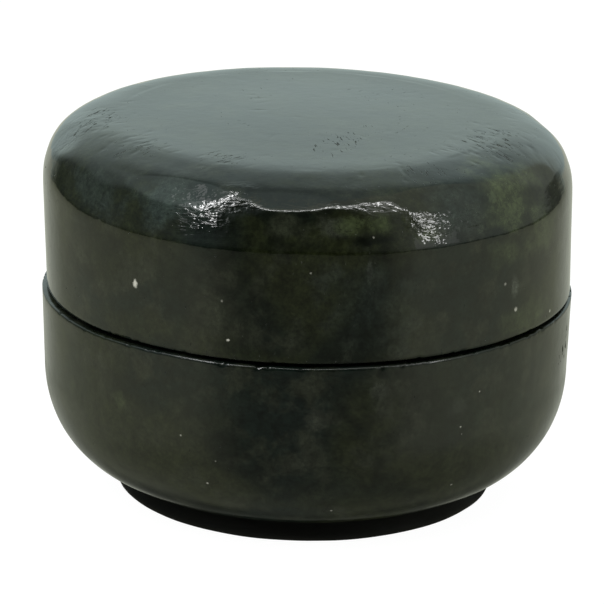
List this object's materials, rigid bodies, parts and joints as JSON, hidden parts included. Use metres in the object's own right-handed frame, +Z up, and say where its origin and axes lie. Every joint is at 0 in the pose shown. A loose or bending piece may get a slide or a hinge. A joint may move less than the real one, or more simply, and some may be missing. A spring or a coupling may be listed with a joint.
{
  "type": "inkwell",
  "caption": "Round desk inkwell carved from dark green hardstone, with a foot ring, a removable glass liner and a domed lift-off lid.",
  "frame": {"origin": "middle of the foot ring, on the surface that the inkwell stands on", "axes": "+Z up along the turning axis, through the foot, the liner and the lid; the piece is round, so +X and +Y only fix a direction"},
  "size_m": [0.07, 0.07, 0.0499],
  "materials": {
    "stone": "polished dark green nephrite, with small natural pits",
    "glass": "clear pressed glass with a faint green cast"
  },
  "bodies": {
    "base": {"stone_base": "stone"},
    "liner": {"glass_liner": "glass"},
    "lid": {"stone_lid": "stone"}
  },
  "joints": [
    {"name": "liner_lift", "type": "slide", "parent": "base", "child": "liner", "axis": [0, 0, 1], "range_m": [0, 0.04]},
    {"name": "lid_lift", "type": "slide", "parent": "liner", "child": "lid", "axis": [0, 0, 1], "range_m": [0, 0.06]}
  ]
}
